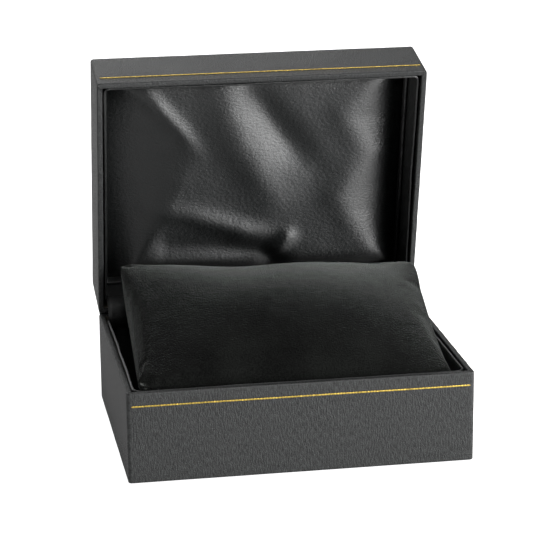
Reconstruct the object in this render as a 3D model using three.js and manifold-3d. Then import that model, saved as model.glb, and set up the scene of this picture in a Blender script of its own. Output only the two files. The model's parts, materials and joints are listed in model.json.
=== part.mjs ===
// Hinged jewellery gift box: a wrapped tray, a wrapped lid held open on a steel pin hinge,
// satin and card linings, and a loose velvet pillow.
// Millimetres, +Z up, +Y towards the hinge. The origin is the centre of the underside.

import * as THREE from "three";
import { mergeVertices } from "three/addons/utils/BufferGeometryUtils.js";
import Module from "manifold-3d";

const wasm = await Module();
wasm.setup();

// Case, outside
const CASE_WIDTH = 102;
const CASE_DEPTH = 79;
const TRAY_HEIGHT = 27.3;
const LID_HEIGHT = 19.6;
const CORNER_RADIUS = 1;
const RIM_GAP = 0.3;
const OPEN_ANGLE = THREE.MathUtils.degToRad(77.5);

// Board shells and the leatherette wrapped over them
const GLUE_GAP = 0.1;
const WRAP_THICKNESS = 0.25;
const BOARD_THICKNESS = 1;
const BACK_BOARD_THICKNESS = 1.55;
const PANEL_THICKNESS = 1.2;
const FOLD_DEPTH = 8;
const SHELL_RADIUS = 0.75;
const SHELL_HOLLOW_RADIUS = 0.6;
const LEAST_RADIUS = 0.4;
const BACK_CUT_DEPTH = 0.8;
const FOOT_SHEET_THICKNESS = 0.4;
const FOOT_SHEET_INSET = 3;

// Linings
const LINER_GAP = 0.4;
const LINER_THICKNESS = 0.7;
const LINER_RADIUS = 3.5;
const BACK_LINER_INSET = 3.1;
const LINER_TUCK_DEPTH = 3.6;
const LINER_TUCK_END = 6;
const TRAY_LINER_SETBACK = 0.2;
const LID_LINER_SETBACK = 1.25;
const FLOOR_CARD_THICKNESS = 0.8;
const PAD_CARD_THICKNESS = 0.8;
const SATIN_THICKNESS = 0.35;
const SATIN_PUFF = 4;
const SATIN_PUFF_POWER = 0.6;
const SATIN_EDGE_DROP = 1.4;
const SATIN_STEPS = 12;
const WADDING_SHARE = 0.93;
const WADDING_STEPS = 8;

// Pin hinge along the outer back edge
const HINGE_LENGTH = 90;
const KNUCKLE_COUNT = 5;
const KNUCKLE_GAP = 0.4;
const BARREL_RADIUS = 0.8;
const BORE_RADIUS = 0.45;
const PIN_RADIUS = 0.35;
const ROUND_SIDES = 16;
const LEAF_THICKNESS = 0.4;
const LEAF_REACH = 14.5;
const LEAF_END_ROOM = 0.6;
const LEAF_SIDE_ROOM = 0.5;
const LEAF_FACE_ROOM = 0.05;
const BARREL_END_ROOM = 1.2;
const BARREL_ROOM = 0.35;
const BARREL_RISE_ROOM = 0.6;
const RIVET_SPACING = 36;
const RIVET_RADIUS = 0.6;
const RIVET_HEAD_RADIUS = 1.2;
const RIVET_HEAD_HEIGHT = 0.35;
const RIVET_REACH = 8;
const RIVET_SIDES = 12;
const SPRING_X = 18;
const SPRING_WIDTH = 8;

// Strips that bend across the hinge: the insets of their faces from the back walls, the inset
// of their bend's centre, and how far their tails reach along each wall
const BEND_STEPS = 8;
const SATIN_STRIP = { near: 2.5, far: 2.9, bend: 0.9, tail: 13 };
const SATIN_STRIP_HALF = 45.5;
const SPINE_STRIP = { near: -0.4, far: -0.1, bend: -3.6, tail: 8 };
const SPINE_STRIP_HALF = 50.6;
const SPRING_STRIP = { near: 2.05, far: 2.35, bend: 0.75, tail: 12 };

// Gold lines along the two front faces
const LINE_WIDTH = 0.45;
const LINE_THICKNESS = 0.12;
const LINE_PROUD = 0.15;
const LINE_END_SETBACK = 1.2;
const TRAY_LINE_DROP = 4;
const LID_LINE_RISE = 4.4;

// Pillow: a crowned cushion with four pointed corners, its seam plane tilted in the tray, and
// a filling slit in its back seam
const PILLOW_HALF_WIDTH = 47;
const PILLOW_HALF_LENGTH = 34.4;
const PILLOW_CROWN = 10.5;
const PILLOW_BELLY = 36;
const PILLOW_CENTRE = new THREE.Vector3(1, -1.9, 34.9);
const PILLOW_TILT = THREE.MathUtils.degToRad(15.3);
const PILLOW_ROLL = THREE.MathUtils.degToRad(1.8);
const PILLOW_YAW = THREE.MathUtils.degToRad(-1.8);
const PILLOW_STEPS = 16;
const PILLOW_SIDE_PULL = 0.037;
const PILLOW_END_PULL = 0.045;
const PILLOW_CROWN_POWER = 0.94;
const PILLOW_BELLY_POWER = 0.6;
const PILLOW_REACH = 60;
const PILLOW_TOP_LIMIT = 80;
const SLIT_HALF_WIDTH = 14;
const SLIT_START = 20;
const SLIT_LOW = 42.6;
const SLIT_HIGH = 43.1;
const COVER_THICKNESS = 0.8;

// Places that follow from the sizes above
const FRONT = -CASE_DEPTH / 2;
const BACK = CASE_DEPTH / 2;
const TRAY_FOOT = FOOT_SHEET_THICKNESS + GLUE_GAP;
const TRAY_RIM = TRAY_FOOT + TRAY_HEIGHT;
const HINGE_Z = TRAY_RIM + RIM_GAP / 2;
const BOARD_INSET = WRAP_THICKNESS + GLUE_GAP;
const BOARD_INNER = BOARD_INSET + BOARD_THICKNESS;
const BACK_BOARD_INNER = BOARD_INSET + BACK_BOARD_THICKNESS;
const FOLD_OUTER = BOARD_INNER + GLUE_GAP;
const FOLD_INNER = FOLD_OUTER + WRAP_THICKNESS;
const LINER_OUTER = FOLD_INNER + LINER_GAP;
const LINER_INNER = LINER_OUTER + LINER_THICKNESS;
const BACK_LINER_INNER = BACK_LINER_INSET + LINER_THICKNESS;
const CARD_CLEARANCE = 0.3;
const CARD_RADIUS = 2.4;
const LEAF_OUTER = BOARD_INSET + LEAF_FACE_ROOM;
const LEAF_INNER = LEAF_OUTER + LEAF_THICKNESS;

const leatherette = { color: 0x4a4c4c, roughness: 0.5, metalness: 0 };
const board = { color: 0x8c8578, roughness: 0.8, metalness: 0 };
const satin = { color: 0x2a2c2b, roughness: 0.35, metalness: 0 };
const velvet = { color: 0x1c1d1c, roughness: 0.95, metalness: 0 };
const steel = { color: 0xb8b8b4, roughness: 0.35, metalness: 1 };
const gold = { color: 0xc8a648, roughness: 0.35, metalness: 1 };
const wadding = { color: 0xe6e4de, roughness: 1, metalness: 0 };

// ---- solids -------------------------------------------------------------------------------

/** A closed three.js geometry as a solid that can be joined and cut. */
function solid(geometry) {
  const bare = geometry.clone();
  bare.deleteAttribute("normal");
  bare.deleteAttribute("uv");
  const merged = mergeVertices(bare, 1e-5);
  return new wasm.Manifold(
    new wasm.Mesh({
      numProp: 3,
      vertProperties: new Float32Array(merged.attributes.position.array),
      triVerts: new Uint32Array(merged.index.array),
    }),
  );
}

/** A solid turned back into a three.js geometry. */
function geometryOf(manifold) {
  const mesh = manifold.getMesh();
  const geometry = new THREE.BufferGeometry();
  geometry.setAttribute("position", new THREE.BufferAttribute(mesh.vertProperties, mesh.numProp));
  geometry.setIndex(new THREE.BufferAttribute(mesh.triVerts, 1));
  geometry.computeVertexNormals();
  return geometry;
}

function part(name, manifold, finish) {
  const mesh = new THREE.Mesh(geometryOf(manifold), new THREE.MeshStandardMaterial(finish));
  mesh.name = name;
  return mesh;
}

function join(...pieces) {
  return pieces.reduce((whole, piece) => whole.add(piece));
}

function cut(body, ...tools) {
  return tools.reduce((left, tool) => left.subtract(tool), body);
}

/** A block from its lowest and highest corners. */
function block(low, high) {
  const size = high.map((value, axis) => value - low[axis]);
  const geometry = new THREE.BoxGeometry(...size);
  geometry.translate(...high.map((value, axis) => (value + low[axis]) / 2));
  return solid(geometry);
}

/** The case's plan, drawn in by the same inset on the sides and front and its own at the back. */
function plan(inset, backInset, radius) {
  const x = CASE_WIDTH / 2 - inset;
  const front = FRONT + inset;
  const back = BACK - backInset;
  const shape = new THREE.Shape();
  shape.moveTo(-x + radius, front);
  shape.lineTo(x - radius, front);
  shape.absarc(x - radius, front + radius, radius, -Math.PI / 2, 0);
  shape.lineTo(x, back - radius);
  shape.absarc(x - radius, back - radius, radius, 0, Math.PI / 2);
  shape.lineTo(-x + radius, back);
  shape.absarc(-x + radius, back - radius, radius, Math.PI / 2, Math.PI);
  shape.lineTo(-x, front + radius);
  shape.absarc(-x + radius, front + radius, radius, Math.PI, Math.PI * 1.5);
  return shape;
}

/** A plan carried straight up from one height to another. */
function slab(shape, low, high) {
  const options = { depth: high - low, bevelEnabled: false, curveSegments: 4 };
  const geometry = new THREE.ExtrudeGeometry(shape, options);
  geometry.translate(0, 0, low);
  return solid(geometry);
}

/** A wall that follows the plan between two insets. */
function ring(outer, inner, low, high, radius = CORNER_RADIUS) {
  const innerRadius = Math.max(radius - inner + outer, LEAST_RADIUS);
  const hole = slab(plan(inner, inner, innerRadius), low - 1, high + 1);
  return slab(plan(outer, outer, radius), low, high).subtract(hole);
}

/** An outline in Y and Z, carried along X. */
function bar(points, x0, x1) {
  const shape = new THREE.Shape(points);
  const geometry = new THREE.ExtrudeGeometry(shape, { depth: x1 - x0, bevelEnabled: false });
  const along = new THREE.Matrix4().makeBasis(
    new THREE.Vector3(0, 1, 0),
    new THREE.Vector3(0, 0, 1),
    new THREE.Vector3(1, 0, 0),
  );
  geometry.applyMatrix4(along);
  geometry.translate(x0, 0, 0);
  return solid(geometry);
}

/** The outline of a round section in Y and Z. */
function circle(y, z, radius) {
  const points = [];
  for (let i = 0; i < ROUND_SIDES; i += 1) {
    const angle = ((i + 0.5) / ROUND_SIDES) * Math.PI * 2;
    points.push(new THREE.Vector2(y + radius * Math.cos(angle), z + radius * Math.sin(angle)));
  }
  return points;
}

/**
 * A closed body between two surfaces over a square grid. Each surface gives a point for u and v
 * from -1 to 1; where the two meet along an edge, their shared points are merged.
 */
function between(lower, upper, steps) {
  const knots = Array.from({ length: steps + 1 }, (_, i) => Math.sin((i / steps - 0.5) * Math.PI));
  const positions = [];
  const faces = [];
  const side = steps + 1;
  const at = (layer, i, j) => layer * side * side + i * side + j;
  const quad = (a, b, c, d) => faces.push(a, b, c, a, c, d);
  [lower, upper].forEach((surface) => {
    knots.forEach((u) => knots.forEach((v) => positions.push(...surface(u, v))));
  });
  for (let i = 0; i < steps; i += 1) {
    for (let j = 0; j < steps; j += 1) {
      quad(at(0, i, j), at(0, i, j + 1), at(0, i + 1, j + 1), at(0, i + 1, j));
      quad(at(1, i, j), at(1, i + 1, j), at(1, i + 1, j + 1), at(1, i, j + 1));
    }
    quad(at(0, i, 0), at(0, i + 1, 0), at(1, i + 1, 0), at(1, i, 0));
    quad(at(0, i + 1, steps), at(0, i, steps), at(1, i, steps), at(1, i + 1, steps));
    quad(at(0, 0, i + 1), at(0, 0, i), at(1, 0, i), at(1, 0, i + 1));
    quad(at(0, steps, i), at(0, steps, i + 1), at(1, steps, i + 1), at(1, steps, i));
  }
  const geometry = new THREE.BufferGeometry();
  geometry.setAttribute("position", new THREE.Float32BufferAttribute(positions, 3));
  geometry.setIndex(faces);
  return solid(withoutSlivers(mergeVertices(geometry, 1e-4)));
}

/** Drops the triangles that merging has closed up. */
function withoutSlivers(geometry) {
  const index = geometry.index.array;
  const kept = [];
  for (let i = 0; i < index.length; i += 3) {
    const [a, b, c] = index.slice(i, i + 3);
    if (a !== b && b !== c && c !== a) kept.push(a, b, c);
  }
  geometry.setIndex(kept);
  return geometry;
}

// ---- hinge --------------------------------------------------------------------------------
// Hinge pieces are drawn in Y and Z from the pin's axis. Z runs up the lid's back wall from the
// axis when sign is 1 and down the tray's back wall when sign is -1.

/** The room that the barrel needs in the back rims. */
function barrelRelief(y, z) {
  const reach = HINGE_LENGTH / 2 + BARREL_END_ROOM;
  const room = BARREL_RADIUS + BARREL_ROOM;
  const rise = BARREL_RADIUS + BARREL_RISE_ROOM;
  return block([-reach, y - room, z - rise], [reach, y + room, z + rise]);
}

/** The recess in a shell's back wall that the leaf lies in. */
function leafRecess(y, z, sign) {
  const far = z + sign * (LEAF_REACH + LEAF_END_ROOM);
  const reach = HINGE_LENGTH / 2 + LEAF_SIDE_ROOM;
  const low = [-reach, y - LEAF_INNER - GLUE_GAP, Math.min(z, far)];
  const high = [reach, y - BOARD_INSET + LEAF_FACE_ROOM, Math.max(z, far)];
  return block(low, high);
}

function rivetPlaces() {
  return [-RIVET_SPACING, 0, RIVET_SPACING];
}

/** A round bar along Y. */
function roundAlongY(x, z, radius, y0, y1) {
  const geometry = new THREE.CylinderGeometry(radius, radius, y1 - y0, RIVET_SIDES);
  geometry.translate(x, (y0 + y1) / 2, z);
  return solid(geometry);
}

function rivetHoles(y, z, sign) {
  const radius = RIVET_RADIUS + GLUE_GAP;
  const height = z + sign * RIVET_REACH;
  const depth = 2 * BACK_BOARD_THICKNESS;
  return rivetPlaces().map((x) => roundAlongY(x, height, radius, y - depth, y));
}

/** Knuckle spans along X, alternating between the tray's leaf and the lid's. */
function knuckles(first) {
  const pitch = HINGE_LENGTH / KNUCKLE_COUNT;
  const spans = [];
  for (let i = first; i < KNUCKLE_COUNT; i += 2) {
    const start = -HINGE_LENGTH / 2 + i * pitch;
    spans.push([start + KNUCKLE_GAP / 2, start + pitch - KNUCKLE_GAP / 2]);
  }
  return spans;
}

/** A pressed steel leaf: a plate with its knuckles curled round the pin. */
function hingeLeaf(y, z, sign, first) {
  const outer = y - LEAF_OUTER;
  const inner = y - LEAF_INNER;
  const end = z + sign * LEAF_REACH;
  const shoulder = z + sign * (BARREL_RADIUS + BARREL_ROOM);
  const half = HINGE_LENGTH / 2;
  const heights = [Math.min(end, shoulder), Math.max(end, shoulder)];
  const plate = block([-half, inner, heights[0]], [half, outer, heights[1]]);
  const curls = knuckles(first).flatMap(([x0, x1]) => [
    block([x0, inner, Math.min(z, end)], [x1, outer, Math.max(z, end)]),
    bar(circle(y, z, BARREL_RADIUS), x0, x1),
  ]);
  const bore = bar(circle(y, z, BORE_RADIUS), -half - 1, half + 1);
  return cut(join(plate, ...curls), bore, ...rivetHoles(y + 1, z, sign));
}

function hingePin() {
  return bar(circle(BACK, HINGE_Z, PIN_RADIUS), -HINGE_LENGTH / 2, HINGE_LENGTH / 2);
}

/** A rivet from the leaf through the board, with its head inside. */
function rivet(x, y, z, sign) {
  const height = z + sign * RIVET_REACH;
  const headBase = y - BACK_BOARD_INNER - GLUE_GAP;
  const shank = roundAlongY(x, height, RIVET_RADIUS, headBase - RIVET_HEAD_HEIGHT, y - LEAF_OUTER);
  const head = roundAlongY(x, height, RIVET_HEAD_RADIUS, headBase - RIVET_HEAD_HEIGHT, headBase);
  return join(shank, head);
}

/**
 * A strip that runs up the tray's back wall, bends across the hinge and follows the open lid's
 * back wall. Its two faces lie at near and far inside the walls' outer faces (negative is
 * outside), and its bend is concentric about the point where the walls' lines, drawn in by
 * bend, would meet.
 */
function stripAcrossHinge({ near, far, bend, tail }, x0, x1) {
  const half = OPEN_ANGLE / 2;
  const centre = new THREE.Vector2(-bend, bend * Math.tan(half));
  const face = (inset) => {
    const points = [new THREE.Vector2(-inset, -tail)];
    for (let i = 0; i <= BEND_STEPS; i += 1) {
      const angle = Math.PI - (OPEN_ANGLE * i) / BEND_STEPS;
      const reach = inset - bend;
      const offset = new THREE.Vector2(Math.cos(angle), Math.sin(angle)).multiplyScalar(reach);
      points.push(centre.clone().add(offset));
    }
    points.push(new THREE.Vector2(-inset, tail).rotateAround(new THREE.Vector2(), -OPEN_ANGLE));
    return points;
  };
  const outline = [...face(near), ...face(far).reverse()];
  outline.forEach((point) => point.add(new THREE.Vector2(BACK, HINGE_Z)));
  return bar(outline, x0, x1);
}

// ---- tray ---------------------------------------------------------------------------------

function trayShell() {
  const floor = TRAY_FOOT + BOARD_INSET;
  const rim = TRAY_RIM - BOARD_INSET;
  const outside = slab(plan(BOARD_INSET, BOARD_INSET, SHELL_RADIUS), floor, rim);
  const hollowPlan = plan(BOARD_INNER, BACK_BOARD_INNER, SHELL_HOLLOW_RADIUS);
  const hollow = slab(hollowPlan, floor + PANEL_THICKNESS, rim + 1);
  return cut(
    outside,
    hollow,
    barrelRelief(BACK, HINGE_Z),
    leafRecess(BACK, HINGE_Z, -1),
    ...rivetHoles(BACK, HINGE_Z, -1),
  );
}

/**
 * The covering of one half: outer skin, rim and the fold inside it. The fold and the lip are
 * cut away along the back, where the hinge lies. foldSign is 1 where the rim is on top.
 */
function wrapSides(low, high, rim, foldSign) {
  const foldEnd = rim - foldSign * FOLD_DEPTH;
  const rimUnder = rim - foldSign * WRAP_THICKNESS;
  const [lipLow, lipHigh] = [Math.min(rim, rimUnder), Math.max(rim, rimUnder)];
  const [foldLow, foldHigh] = [Math.min(rim, foldEnd), Math.max(rim, foldEnd)];
  const skin = ring(0, WRAP_THICKNESS, low, high);
  const lip = ring(0, FOLD_INNER, lipLow, lipHigh);
  const fold = ring(FOLD_OUTER, FOLD_INNER, foldLow, foldHigh, SHELL_HOLLOW_RADIUS);
  const inner = BACK - BACK_BOARD_INNER - BACK_CUT_DEPTH;
  const outer = BACK - WRAP_THICKNESS - LEAF_FACE_ROOM;
  const foldHalf = CASE_WIDTH / 2 - BOARD_INSET;
  const lipHalf = CASE_WIDTH / 2 - FOLD_INNER - GLUE_GAP;
  const inside = foldSign > 0 ? [foldLow - 1, lipLow] : [lipHigh, foldHigh + 1];
  const backFold = block([-foldHalf, inner, inside[0]], [foldHalf, outer, inside[1]]);
  const backLip = block([-lipHalf, inner, lipLow - 1], [lipHalf, outer, lipHigh + 1]);
  return cut(join(skin, lip, fold), backFold, backLip);
}

function trayWrap() {
  const flange = ring(0, FOLD_DEPTH, TRAY_FOOT, TRAY_FOOT + WRAP_THICKNESS);
  const sides = wrapSides(TRAY_FOOT, TRAY_RIM, TRAY_RIM, 1);
  return cut(join(sides, flange), barrelRelief(BACK, HINGE_Z));
}

function trayFootSheet() {
  return slab(plan(FOOT_SHEET_INSET, FOOT_SHEET_INSET, CORNER_RADIUS), 0, FOOT_SHEET_THICKNESS);
}

function trayFloor() {
  return TRAY_FOOT + BOARD_INSET + PANEL_THICKNESS + GLUE_GAP;
}

/** A lining band inside the walls, with a lower edge over the hinge where the satin tucks in. */
function liner(low, high, hingeSide) {
  const outer = slab(plan(LINER_OUTER, BACK_LINER_INSET, LINER_RADIUS), low, high);
  const radius = LINER_RADIUS - LINER_THICKNESS;
  const inner = slab(plan(LINER_INNER, BACK_LINER_INNER, radius), low - 1, high + 1);
  const half = CASE_WIDTH / 2 - LINER_TUCK_END;
  const tuck = hingeSide > 0 ? [high - LINER_TUCK_DEPTH, high + 1] : [low - 1, low + LINER_TUCK_DEPTH];
  const notch = block([-half, BACK - BACK_LINER_INNER - 1, tuck[0]], [half, BACK, tuck[1]]);
  return cut(outer, inner, notch);
}

/** A card that lies inside a lining band. */
function cardSlab(low, high) {
  const inset = LINER_INNER + CARD_CLEARANCE;
  const back = BACK_LINER_INNER + CARD_CLEARANCE;
  return slab(plan(inset, back, CARD_RADIUS), low, high);
}

function trayFloorCard() {
  return cardSlab(trayFloor(), trayFloor() + FLOOR_CARD_THICKNESS);
}

/** A foil line set just proud of a front face. */
function goldLine(front, z) {
  const half = CASE_WIDTH / 2 - LINE_END_SETBACK;
  const low = [-half, front - LINE_PROUD, z - LINE_WIDTH / 2];
  const high = [half, front - LINE_PROUD + LINE_THICKNESS, z + LINE_WIDTH / 2];
  return block(low, high);
}

// ---- lid, drawn closed with the pin's axis at its origin ----------------------------------

const LID_RIM = RIM_GAP / 2;
const LID_TOP = LID_RIM + LID_HEIGHT;
const LID_PANEL = LID_TOP - BOARD_INSET - PANEL_THICKNESS;
const PAD_CARD_LOW = LID_PANEL - GLUE_GAP - PAD_CARD_THICKNESS;
const SATIN_EDGE = PAD_CARD_LOW - SATIN_EDGE_DROP;

function lidShell() {
  const rim = LID_RIM + BOARD_INSET;
  const outside = slab(plan(BOARD_INSET, BOARD_INSET, SHELL_RADIUS), rim, LID_TOP - BOARD_INSET);
  const hollowPlan = plan(BOARD_INNER, BACK_BOARD_INNER, SHELL_HOLLOW_RADIUS);
  const hollow = slab(hollowPlan, rim - 1, LID_PANEL);
  return cut(
    outside,
    hollow,
    barrelRelief(BACK, 0),
    leafRecess(BACK, 0, 1),
    ...rivetHoles(BACK, 0, 1),
  );
}

function lidWrap() {
  const top = slab(plan(0, 0, CORNER_RADIUS), LID_TOP - WRAP_THICKNESS, LID_TOP);
  return cut(join(wrapSides(LID_RIM, LID_TOP, LID_RIM, -1), top), barrelRelief(BACK, 0));
}

function lidPadCard() {
  return cardSlab(PAD_CARD_LOW, PAD_CARD_LOW + PAD_CARD_THICKNESS);
}

/** How far the padded lining stands out of the lid's panel at u, v from -1 to 1. */
function puff(u, v) {
  return SATIN_PUFF * Math.pow(Math.max(0, (1 - u ** 4) * (1 - v ** 4)), SATIN_PUFF_POWER);
}

/** A point at u, v over a share of the lid's lining, at the height z. */
function overLid(u, v, share, z) {
  const x = (CASE_WIDTH / 2 - LINER_INNER - CARD_CLEARANCE) * u * share;
  const front = FRONT + LINER_INNER + CARD_CLEARANCE;
  const back = BACK - BACK_LINER_INNER - CARD_CLEARANCE;
  return [x, (front + back) / 2 + ((back - front) / 2) * v * share, z];
}

function lidSatin() {
  const low = (u, v) => overLid(u, v, 1, SATIN_EDGE - puff(u, v));
  const high = (u, v) => overLid(u, v, 1, SATIN_EDGE - puff(u, v) + SATIN_THICKNESS);
  return between(low, high, SATIN_STEPS).intersect(cardSlab(0, LID_TOP));
}

function lidWadding() {
  const share = WADDING_SHARE;
  const rise = SATIN_EDGE + SATIN_THICKNESS + CARD_CLEARANCE;
  const low = (u, v) => overLid(u, v, share, rise - puff(u * share, v * share));
  const high = (u, v) => overLid(u, v, share, PAD_CARD_LOW - CARD_CLEARANCE);
  return between(low, high, WADDING_STEPS);
}

// ---- pillow -------------------------------------------------------------------------------

/**
 * One face of the cushion. Its outline is a rectangle whose sides pull in between the corners,
 * and its height over the seam plane is a crown that falls to nothing all round the seam.
 */
function pillowFace(height, power, shrink) {
  const turn = new THREE.Matrix4()
    .makeRotationY(PILLOW_ROLL)
    .multiply(new THREE.Matrix4().makeRotationX(PILLOW_TILT));
  turn.premultiply(new THREE.Matrix4().makeRotationZ(PILLOW_YAW)).setPosition(PILLOW_CENTRE);
  return (u, v) => {
    const swell = Math.pow(Math.max(0, (1 - u * u) * (1 - v * v)), power);
    const x = (PILLOW_HALF_WIDTH - shrink) * u * (1 - PILLOW_SIDE_PULL * (1 - v * v));
    const y = (PILLOW_HALF_LENGTH - shrink) * v * (1 - PILLOW_END_PULL * (1 - u * u));
    return new THREE.Vector3(x, y, height * swell).applyMatrix4(turn).toArray();
  };
}

/** The cushion's body, flattened where it rests on the tray's floor card. */
function cushion(shrink) {
  const crown = pillowFace(PILLOW_CROWN - shrink, PILLOW_CROWN_POWER, shrink);
  const belly = pillowFace(shrink - PILLOW_BELLY, PILLOW_BELLY_POWER, shrink);
  const rest = trayFloor() + FLOOR_CARD_THICKNESS + CARD_CLEARANCE + shrink;
  const front = FRONT + LINER_INNER + CARD_CLEARANCE + shrink;
  const low = [-PILLOW_REACH, front, rest];
  const room = block(low, [PILLOW_REACH, PILLOW_REACH, PILLOW_TOP_LIMIT]);
  return between(belly, crown, PILLOW_STEPS).intersect(room);
}

/** The sewn cover, left open along the filling slit in its back seam. */
function pillowCover() {
  const low = [-SLIT_HALF_WIDTH, SLIT_START, SLIT_LOW];
  const slit = block(low, [SLIT_HALF_WIDTH, PILLOW_REACH, SLIT_HIGH]);
  return cut(cushion(0), cushion(COVER_THICKNESS), slit);
}

function pillowFilling() {
  return cushion(COVER_THICKNESS + CARD_CLEARANCE);
}

// ---- assembly -----------------------------------------------------------------------------

function buildTray() {
  const tray = new THREE.Group();
  const satinStrip = stripAcrossHinge(SATIN_STRIP, -SATIN_STRIP_HALF, SATIN_STRIP_HALF);
  const spineStrip = stripAcrossHinge(SPINE_STRIP, -SPINE_STRIP_HALF, SPINE_STRIP_HALF);
  tray.add(
    part("tray_shell", trayShell(), board),
    part("tray_wrap", trayWrap(), leatherette),
    part("tray_gold_line", goldLine(FRONT, TRAY_RIM - TRAY_LINE_DROP), gold),
    part("tray_foot_sheet", trayFootSheet(), leatherette),
    part("tray_liner", liner(trayFloor(), TRAY_RIM - TRAY_LINER_SETBACK, 1), satin),
    part("tray_floor_card", trayFloorCard(), velvet),
    part("hinge_tray_leaf", hingeLeaf(BACK, HINGE_Z, -1, 0), steel),
    part("hinge_pin", hingePin(), steel),
    part("hinge_satin", satinStrip, satin),
    part("hinge_spine", spineStrip, leatherette),
  );
  [-1, 1].forEach((side) => {
    const start = side * SPRING_X - SPRING_WIDTH / 2;
    const strip = stripAcrossHinge(SPRING_STRIP, start, start + SPRING_WIDTH);
    tray.add(part(side < 0 ? "hinge_spring_left" : "hinge_spring_right", strip, steel));
  });
  rivetPlaces().forEach((x, i) => {
    tray.add(part(`hinge_tray_rivet_${i + 1}`, rivet(x, BACK, HINGE_Z, -1), steel));
  });
  return tray;
}

/** The lid's pieces are drawn at the tray's plan, so an inner group brings the axis to zero. */
function buildLid() {
  const closed = new THREE.Group();
  closed.position.y = -BACK;
  closed.add(
    part("lid_shell", lidShell(), board),
    part("lid_wrap", lidWrap(), leatherette),
    part("lid_gold_line", goldLine(FRONT, LID_RIM + LID_LINE_RISE), gold),
    part("lid_liner", liner(LID_RIM + LID_LINER_SETBACK, LID_PANEL - GLUE_GAP, -1), satin),
    part("lid_pad_card", lidPadCard(), board),
    part("lid_pad_wadding", lidWadding(), wadding),
    part("lid_satin", lidSatin(), satin),
    part("hinge_lid_leaf", hingeLeaf(BACK, 0, 1, 1), steel),
  );
  rivetPlaces().forEach((x, i) => {
    closed.add(part(`hinge_lid_rivet_${i + 1}`, rivet(x, BACK, 0, 1), steel));
  });
  const lid = new THREE.Group();
  lid.position.set(0, BACK, HINGE_Z);
  lid.rotation.x = -OPEN_ANGLE;
  lid.add(closed);
  return lid;
}

function buildPillow() {
  const pillow = new THREE.Group();
  pillow.add(
    part("pillow_cover", pillowCover(), velvet),
    part("pillow_filling", pillowFilling(), wadding),
  );
  return pillow;
}

const box = new THREE.Group();
box.add(buildTray(), buildLid(), buildPillow());

export default box;
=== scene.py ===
"""Looks of a hinged jewellery gift box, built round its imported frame.

Every shape is worked out in millimetres from the frame's own sizes and put into the mesh in
metres. The lid's pieces are drawn shut and then turned open about the hinge.
"""

import json
import math

import bmesh
import bpy
import numpy as np
from mathutils import Matrix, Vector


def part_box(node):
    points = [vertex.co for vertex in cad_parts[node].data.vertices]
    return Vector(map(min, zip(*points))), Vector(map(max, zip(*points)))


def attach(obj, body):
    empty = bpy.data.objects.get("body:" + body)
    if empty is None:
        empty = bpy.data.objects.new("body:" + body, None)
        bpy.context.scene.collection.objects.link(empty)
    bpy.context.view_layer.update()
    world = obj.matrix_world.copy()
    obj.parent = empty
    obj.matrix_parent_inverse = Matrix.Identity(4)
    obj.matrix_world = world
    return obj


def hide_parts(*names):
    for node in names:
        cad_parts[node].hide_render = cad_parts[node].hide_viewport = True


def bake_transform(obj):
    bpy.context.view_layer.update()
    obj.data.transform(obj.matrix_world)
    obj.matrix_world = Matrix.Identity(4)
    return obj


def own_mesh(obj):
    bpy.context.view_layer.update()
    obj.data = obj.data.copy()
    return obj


bl_info = {
    "name": "Wrapped Gift Box",
    "version": (1, 0, 0),
    "blender": (4, 5, 0),
    "location": "View3D > Sidebar > Gift Box",
    "description": "Builds the coverings, linings, pillow and stage of a hinged gift box",
    "category": "Add Mesh",
}

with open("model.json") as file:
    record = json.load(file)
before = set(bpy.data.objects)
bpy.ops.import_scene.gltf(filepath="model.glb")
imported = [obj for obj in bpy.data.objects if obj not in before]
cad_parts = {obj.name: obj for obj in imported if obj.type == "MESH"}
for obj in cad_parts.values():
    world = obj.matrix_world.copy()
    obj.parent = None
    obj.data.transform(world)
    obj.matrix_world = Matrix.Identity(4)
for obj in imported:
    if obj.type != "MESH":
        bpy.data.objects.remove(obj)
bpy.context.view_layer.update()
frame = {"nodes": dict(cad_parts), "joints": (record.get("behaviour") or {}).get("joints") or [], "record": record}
MM = 0.001


# ---- sizes from the frame, in millimetres --------------------------------------------------

HINGE = next(joint for joint in frame["joints"] if joint["name"] == "lid_hinge")
AXIS_Y, AXIS_Z = (value / MM for value in HINGE["pos_m"][1:])
OPEN_ANGLE = math.radians(HINGE["range_deg"][1])


def rest_box(node):
    """Lowest and highest corner of a node as it stands."""
    low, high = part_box(node)
    return np.array(low) / MM, np.array(high) / MM


def shut_box(node):
    """Lowest and highest corner of one of the lid's nodes with the lid shut."""
    mesh = frame["nodes"][node].data
    points = np.array([vertex.co for vertex in mesh.vertices]) / MM
    shut = turn_lid(points, OPEN_ANGLE)
    return shut.min(0), shut.max(0)


def turn_lid(points, angle):
    """Points turned about the hinge by an angle: positive shuts the lid, negative opens it."""
    cosine, sine = math.cos(angle), math.sin(angle)
    y = points[..., 1] - AXIS_Y
    z = points[..., 2] - AXIS_Z
    turned = np.array(points, float)
    turned[..., 1] = AXIS_Y + y * cosine - z * sine
    turned[..., 2] = AXIS_Z + y * sine + z * cosine
    return turned


TRAY_LOW, TRAY_HIGH = rest_box("tray_wrap")
LID_LOW, LID_HIGH = shut_box("lid_wrap")
LINER_LOW, LINER_HIGH = rest_box("tray_liner")
LID_LINER_LOW, LID_LINER_HIGH = shut_box("lid_liner")
CARD_LOW, CARD_HIGH = shut_box("lid_pad_card")
FLOOR_TOP = rest_box("tray_floor_card")[1][2]
HALF_WIDTH = TRAY_HIGH[0]
HALF_DEPTH = TRAY_HIGH[1]


# ---- colour -------------------------------------------------------------------------------


def linear(hexadecimal):
    """An sRGB hex colour as linear red, green, blue."""
    parts = [int(hexadecimal[i : i + 2], 16) / 255 for i in (1, 3, 5)]
    return tuple(c / 12.92 if c <= 0.04045 else ((c + 0.055) / 1.055) ** 2.4 for c in parts)


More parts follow.
